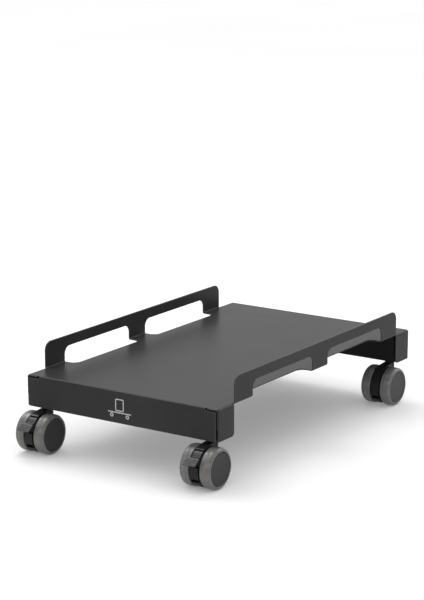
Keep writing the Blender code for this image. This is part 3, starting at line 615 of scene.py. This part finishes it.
# %% [markdown]
# ## Caster housings
# The housing is one nylon moulding between the two wheels. Seen from the side it follows the wheel
# from the toe, round the front, to a hood with a lip, then runs back to a round boss that takes the
# stem's pin. On the front casters a pocket and a slot make room for the brake lever. A side outline
# stood up to its width, joined to the boss and cut by its holes gives the true shape, and the small
# rounding afterwards is what a mould leaves on every outside edge.

# %% Where the caster's parts lie, seen from the side
stem_centre = (stem_low + stem_high) / 2
axle_low, axle_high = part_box("front_left_axle")
axle_centre = (axle_low + axle_high) / 2
TRAIL = (stem_centre.y - axle_centre.y) / MM
AXLE_Z = axle_centre.z / MM
housing_low, housing_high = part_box("front_left_housing")
boss_width = (housing_high.x - housing_low.x) / MM
plate_width = boss_width - 1.0  # the boss bulges half a millimetre past each face
boss_top = housing_high.z / MM - AXLE_Z
BOSS = boss_width / 2
FACE = AXLE_Z - 0.6  # radius of the housing's face about the axle
print("trail", round(TRAIL, 2), "housing width", round(plate_width, 2), "boss top", round(boss_top, 2))


def about(radius, degrees, centre=(0.0, 0.0)):
    """(y, z) at this angle up from straight ahead, about the axle unless a centre is given."""
    turn = math.radians(degrees)
    return (centre[0] - radius * math.cos(turn), centre[1] + radius * math.sin(turn))


def sweep(radius, start, end, count, centre=(0.0, 0.0)):
    return [about(radius, start + (end - start) * i / count, centre) for i in range(count + 1)]


# %% Mould the housings
PIVOT = about(15.5, 47.0)
FACE_SPAN, HOOD_LIP = 62.0, 2.3  # degrees from straight ahead to the face's ends, and mm
PIN_ROOM, RING_ROOM, AXLE_HOLE, PIN_HOLE = 4.08, 4.9, 3.1, 1.6  # radii
TOE_WIDTH, SLOT_WIDTH = 9.9, 5.3
MOULD_EDGE = 0.22
side_view = sweep(FACE, -FACE_SPAN, FACE_SPAN, 40)
side_view += sweep(FACE + HOOD_LIP, FACE_SPAN, FACE_SPAN + 5.0, 3)
side_view += [(TRAIL - 18.75, boss_top - 2.6), (TRAIL - 9.0, boss_top - 1.75), (TRAIL, boss_top - 1.4)]
side_view += [(TRAIL + BOSS / 3, boss_top - 1.4), (TRAIL + BOSS / 3, 8.6)]
side_view += [(7.5, -2.5), (6.4, -5.4), (3.75, -7.5), (0.9, -8.35), (-1.9, -8.62)]
ALONG_X = Matrix.Rotation(math.radians(90.0), 4, "Y")


def round_tool(name, profile, steps=48, centre=(0.0, 0.0), along_x=False):
    mesh = turned(name, profile, steps)
    if along_x:
        mesh.transform(ALONG_X)
    mesh.transform(Matrix.Translation(Vector((0.0, *centre)) * MM))
    return hold(name, mesh)


def moulded_housing(braked):
    piece = hold("housing", upright("housing", side_view, plate_width))
    combine(piece, [round_tool("boss", rod(BOSS, 8, boss_top), 64, (TRAIL, 0))], "UNION")
    reach, floor = boss_width, boss_top - 14.6
    ring_low, ring_high = floor + 3.9, floor + 5.7
    socket = [(0, boss_top + 1), (PIN_ROOM, boss_top + 1), (PIN_ROOM, ring_high)]
    socket += [(RING_ROOM, ring_high), (RING_ROOM, ring_low), (PIN_ROOM, ring_low)]
    socket += [(PIN_ROOM, floor), (0, floor)]
    tools = [round_tool("socket", socket, 48, (TRAIL, 0))]
    tools += [round_tool("axle hole", rod(AXLE_HOLE, -reach, reach), 48, along_x=True)]
    toe = [about(FACE + 1, -37), about(FACE + 1, -25), about(15.4, -25), about(15.4, -37)]
    tools += [hold("toe opening", upright("toe opening", toe, TOE_WIDTH))]
    if braked:
        pocket = [about(18.4, 11.0), about(18.75, 18.3), about(19.3, 27.5), about(19.8, 37.0)]
        pocket += sweep(20.25, 46.0, 61.6, 5) + sweep(2 * FACE, 61.6, 11.0, 8)
        slot = sweep(4.1, 137.0, 317.0, 14, PIVOT) + [about(FACE, 34.0), about(FACE, 57.0)]
        tools += [hold("lever pocket", upright("lever pocket", pocket, 2 * reach))]
        tools += [hold("arm slot", upright("arm slot", slot, SLOT_WIDTH))]
        tools += [round_tool("pin hole", rod(PIN_HOLE, -reach, reach), 32, PIVOT, along_x=True)]
    combine(piece, tools)
    round_edges(piece, MOULD_EDGE)
    smooth(piece, nylon)
    mesh = taken(piece)
    print("housing", "with brake pocket" if braked else "plain", len(mesh.polygons), "faces")
    return mesh


housing_meshes = {"front": moulded_housing(True), "rear": moulded_housing(False)}

# %% [markdown]
# ## Brake lever
# The lever is a second moulding: a tongue that fills the pocket, an arm that reaches in to the
# pivot pin, and a pedal that sticks out for a shoe. Four ribs across the pedal stop the shoe
# slipping. Each part of it is an outline with its own width, joined into one solid, and the ribs
# are real half rounds rather than bump, since they show at the pedal's edge.

# %% Mould the lever
TONGUE_WIDTH, ARM_WIDTH = 11.0, 4.6
PEDAL_LENGTH, PEDAL_THICKNESS, PEDAL_WIDTH = 11.2, 1.7, 17.8
EYE, LEVER_EDGE = 1.58, 0.3
RIBS, FIRST_RIB, RIB_PITCH, RIB = 4, 2.5, 2.2, 0.55
tongue_face, tongue_back = FACE + 1.2, FACE - 3.8
slope = math.radians(35.0)
run = Vector((-math.cos(slope), -math.sin(slope)))
up = Vector((run.y, -run.x))
pedal_back = Vector(about(31.4, 33.0))


def on_pedal(along, above):
    """(y, z) this far along the pedal from its back edge and above its top face."""
    return tuple(pedal_back + run * along + up * above)


tongue = sweep(tongue_face, 58.5, 40.0, 8)
tongue += [on_pedal(PEDAL_THICKNESS, 0), on_pedal(PEDAL_THICKNESS, -PEDAL_THICKNESS)]
tongue += [about(FACE, 26.0), about(FACE, 22.0)] + sweep(tongue_back, 22.0, 58.5, 10)
arm = sweep(3.4, 117.0, 337.0, 20, PIVOT)
arm += [about(tongue_back + 2.5, 39.0), about(tongue_back + 2.5, 52.0)]
pedal = [on_pedal(0, 0), on_pedal(PEDAL_LENGTH, 0), on_pedal(PEDAL_LENGTH, -PEDAL_THICKNESS)]
pedal += [on_pedal(0, -PEDAL_THICKNESS)]
lever = hold("lever", upright("lever", tongue, TONGUE_WIDTH))
for name, outline, width in (("arm", arm, ARM_WIDTH), ("pedal", pedal, PEDAL_WIDTH)):
    combine(lever, [hold(name, upright(name, outline, width))], "UNION")
combine(lever, [round_tool("eye", rod(EYE, -20, 20), 32, PIVOT, along_x=True)])
round_edges(lever, LEVER_EDGE)
for rib in range(RIBS):
    along = FIRST_RIB + RIB_PITCH * rib
    half_round = [on_pedal(along + y, z) for y, z in arc((0, -0.1), RIB, 0, 180, 8)]
    combine(lever, [hold("rib", upright("rib", half_round, PEDAL_WIDTH - 3.0))], "UNION")
smooth(lever, pedal_nylon)
lever_mesh = taken(lever)
lever_mesh.transform(Matrix.Translation(-Vector((0.0, *PIVOT)) * MM))
print("lever", len(lever_mesh.polygons), "faces")

# %% [markdown]
# ## Wheels
# Each wheel is a hard plastic core, a rubber tyre moulded over it, and a disc pressed into the
# outside to hide the core. All three are solids of revolution, so a turned profile is exact and
# light. The tyre's profile carries the small things that make it look moulded: a parting line
# round the middle of the tread and a bead round the outer shoulder. The tread is turned a tenth of
# a millimetre under size, so the parting line is what reaches the true radius.

# %% Turn the tyre, core and disc
SHOULDER, INNER_CORNER = 4.6, 1.2
DISC_EDGE, DISH = 0.8, 0.16  # the disc's face is sunk this far inside its rim
tyre_low, tyre_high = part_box("front_left_right_wheel_tread")
wheel_radius = (tyre_high.z - tyre_low.z) / 2 / MM
inner = (tyre_low.x - axle_centre.x) / MM
outer = (tyre_high.x - axle_centre.x) / MM
bore, tread = wheel_radius - 4.5, wheel_radius - 0.1
parting = (inner + outer) / 2 - 1.0
corner, shoulder = tread - INNER_CORNER, (wheel_radius - SHOULDER, outer - SHOULDER)
profile = [(bore, inner), (corner, inner)]
profile += arc((corner, inner + INNER_CORNER), INNER_CORNER, -90, 0, 6)[1:]
profile += [(tread, parting - 0.25), (wheel_radius, parting - 0.08)]
profile += [(wheel_radius, parting + 0.08), (tread, parting + 0.25)]
profile += arc(shoulder, 4.5, 0, 58, 12) + arc(shoulder, 4.3, 61, 64, 1)
profile += arc(shoulder, SHOULDER, 67, 84, 5)
profile += [(bore + 0.45, outer - 0.04), (bore, outer - 0.8)]
tyre_mesh = turned("tyre", profile, 96, closed=True)

cap_low, cap_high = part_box("front_left_right_wheel_cap")
cap_in, cap_out = (cap_low.x - axle_centre.x) / MM, (cap_high.x - axle_centre.x) / MM
cap_radius = (cap_high.z - cap_low.z) / 2 / MM
profile = [(0, cap_in), (cap_radius, cap_in), (cap_radius, cap_out - DISC_EDGE)]
profile += arc((cap_radius - DISC_EDGE, cap_out - DISC_EDGE), DISC_EDGE, 0, 90, 6)[1:]
profile += [(cap_radius - 1.5, cap_out), (cap_radius - 1.65, cap_out - 0.14)]
profile += [(cap_radius - 1.9, cap_out - DISH)]
for share in (0.75, 0.5, 0.25):
    profile += [(cap_radius * share, cap_out - DISH - 0.1 * (1 - share * share))]
cap_mesh = turned("hub disc", profile + [(0, cap_out - 0.26)], 96)

HUB_BORE, HUB, WEB, RIM_GAP = 3.08, 6.48, 2.4, 0.3
rim_in, rim_out = inner + RIM_GAP, cap_in - RIM_GAP
hub_in, web_out = plate_width / 2 + RIM_GAP, rim_in + WEB
profile = [(HUB_BORE, rim_out), (HUB, rim_out), (HUB, web_out), (bore - 2.9, web_out)]
profile += [(bore - 2.9, rim_out), (bore - RIM_GAP, rim_out), (bore - RIM_GAP, rim_in)]
profile += [(HUB, rim_in), (HUB, hub_in), (HUB_BORE, hub_in)]
core_mesh = turned("wheel core", profile, 64, closed=True)

AXLE, AXLE_GROOVE, GROOVE_OUT, GROOVE_IN = 3.0, 2.7, 15.2, 14.4
axle_half = (axle_high.x - axle_low.x) / 2 / MM
half_axle = [(0, -axle_half), (AXLE - 0.6, -axle_half), (AXLE, 0.6 - axle_half)]
half_axle += [(AXLE, -GROOVE_OUT), (AXLE_GROOVE, -GROOVE_OUT)]
half_axle += [(AXLE_GROOVE, -GROOVE_IN), (AXLE, -GROOVE_IN)]
axle_mesh = turned("axle", half_axle + [(r, -z) for r, z in reversed(half_axle)], 40)

BRAKE_PIN, PIN_CHAMFER = 1.5, 0.3
pin_low, pin_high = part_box("front_left_brake_pin")
pin_half = (pin_high.x - pin_low.x) / 2 / MM
half_pin = [(0, -pin_half), (BRAKE_PIN - PIN_CHAMFER, -pin_half), (BRAKE_PIN, PIN_CHAMFER - pin_half)]
pin_mesh = turned("pivot pin", half_pin + [(r, -z) for r, z in reversed(half_pin)], 28)

turned_finishes = (
    (tyre_mesh, tyre_rubber, 50.0),
    (cap_mesh, disc_plastic, 30.0),
    (core_mesh, core_plastic, 30.0),
    (axle_mesh, zinc, 30.0),
    (pin_mesh, zinc, 30.0),
)
for mesh, finish, sharp in turned_finishes:
    mesh.shade_smooth()
    mesh.set_sharp_from_angle(angle=math.radians(sharp))
    mesh.materials.append(finish)
print("wheel radius", round(wheel_radius, 2), "tyre from", round(inner, 2), "to", round(outer, 2))

# %% [markdown]
# ## Four casters in place
# The same meshes serve all four corners. Each piece is put where its measured twin is, told which
# body it moves with, and its twin is hidden so that it stands in the twin's place. Stems stay with
# the tray, the housing swivels on its stem, and each wheel turns on its own, which is what lets a
# twin-wheel caster steer.


def put(name, mesh, location, body, node, turn=0.0):
    piece = hold(name, mesh)
    piece.location = location
    piece.rotation_euler.y = math.radians(turn)
    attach(piece, body)
    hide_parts(node)


for end_name in ("front", "rear"):
    for side_name in ("left", "right"):
        corner = f"{end_name}_{side_name}"
        seat = centre_of(corner + "_stem")
        seat.z = 0.0
        put(corner + "_threaded_stem", stem_mesh, seat, "frame", corner + "_stem")
        hub, caster = centre_of(corner + "_axle"), corner + "_caster"
        put(corner + "_moulded_housing", housing_meshes[end_name], hub, caster, corner + "_housing")
        put(corner + "_axle_rod", axle_mesh, hub, caster, corner + "_axle", 90)
        if end_name == "front":
            pivot = hub + Vector((0.0, *PIVOT)) * MM
            put(corner + "_ribbed_lever", lever_mesh, pivot, corner + "_brake", corner + "_brake_lever")
            put(corner + "_pivot_pin", pin_mesh, pivot, caster, corner + "_brake_pin", 90)
        for wheel, turn in (("left_wheel", -90), ("right_wheel", 90)):
            body, node = f"{corner}_{wheel}", f"{corner}_{wheel}_"
            put(node + "tyre", tyre_mesh, hub, body, node + "tread", turn)
            put(node + "hub_disc", cap_mesh, hub, body, node + "cap", turn)
            put(node + "hard_core", core_mesh, hub, body, node + "core", turn)
        for hidden in ("_snap_ring", "_weld_nut"):
            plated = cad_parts[corner + hidden]
            plated.data.materials.clear()
            plated.data.materials.append(zinc)

# %% [markdown]
# ## Floor, light and camera
# A dark satin object on a white sweep is lit mostly by what surrounds it. A bright, even world
# fills the reflections and one large, weak panel above gives the shadow its direction. The floor is
# milky acrylic lit faintly from below, as product studios use, so the shadow under the tray
# stays open and fades out with no edge. Two strips add only glints: they show in the gloss of the
# folds and the rail edges and light nothing else. The camera stands far back with a long lens,
# which keeps the verticals nearly parallel.

# %% Studio
floor_finish = grained_finish(
    "lit_acrylic_floor", (grey(0.66), grey(0.70)), (0.75, 0.85), (2.0, 5.0), patch=2.0
)
WHITE, FLOOR_GLOW = (1.0, 1.0, 1.0, 1.0), 0.17
floor_light = floor_finish.node_tree.nodes["Principled BSDF"]
floor_light.inputs["Emission Color"].default_value = WHITE
floor_light.inputs["Emission Strength"].default_value = FLOOR_GLOW
bm = bmesh.new()
bmesh.ops.create_grid(bm, x_segments=1, y_segments=1, size=15.0)
floor = hold("floor", mesh_of(bm, "floor"))
floor.data.materials.append(floor_finish)

HORIZON, OVERHEAD = 0.76, 1.4
world = bpy.data.worlds.new("studio")
world.use_nodes = True
sky = world.node_tree
direction = sky.nodes.new("ShaderNodeTexCoord")
height = sky.nodes.new("ShaderNodeSeparateXYZ")
glow = sky.nodes.new("ShaderNodeMapRange")
glow.inputs["To Min"].default_value, glow.inputs["To Max"].default_value = HORIZON, OVERHEAD
sky.links.new(direction.outputs["Generated"], height.inputs["Vector"])
sky.links.new(height.outputs["Z"], glow.inputs["Value"])
sky.links.new(glow.outputs["Result"], sky.nodes["Background"].inputs["Strength"])
sky.nodes["Background"].inputs["Color"].default_value = WHITE
bpy.context.scene.world = world


def soft_panel(name, location, target_height, size, power, glints_only=False):
    """A rectangle of light, in metres and watts, aimed at a point this high above the origin."""
    lamp = bpy.data.lights.new(name, "AREA")
    lamp.shape, lamp.energy = "RECTANGLE", power
    lamp.size, lamp.size_y = size
    panel = bpy.data.objects.new(name, lamp)
    bpy.context.scene.collection.objects.link(panel)
    panel.location = location
    aim = Vector((0.0, 0.0, target_height)) - Vector(location)
    panel.rotation_euler = aim.to_track_quat("-Z", "Y").to_euler()
    panel.visible_diffuse = not glints_only


soft_panel("upper_left_panel", (-0.8, 0.5, 1.9), 0.05, (1.0, 1.0), power=12.0)
soft_panel("fold_strip", (-1.1, 0.1, 1.75), 0.08, (0.3, 1.3), power=25.0, glints_only=True)
soft_panel("rail_strip", (0.7, 1.8, 1.25), 0.1, (1.0, 0.4), power=12.0, glints_only=True)

CAMERA_RIGHT, CAMERA_BACK, CAMERA_HIGH = 1.4, 2.11961, 0.7659  # metres from the deck's middle
LOOK_DOWN, LOOK_LEFT = 0.2333, 0.5906  # radians
lens = bpy.data.cameras.new("camera")
lens.sensor_width, lens.lens, lens.clip_end = 36.0, 124.06, 20.0
camera = bpy.data.objects.new("camera", lens)
bpy.context.scene.collection.objects.link(camera)
camera.location = (CAMERA_RIGHT, middle_y * MM - CAMERA_BACK, CAMERA_HIGH)
camera.rotation_euler = (math.pi / 2 - LOOK_DOWN, 0.0, LOOK_LEFT)
bpy.context.scene.camera = camera
bpy.context.scene.view_settings.view_transform = "Standard"
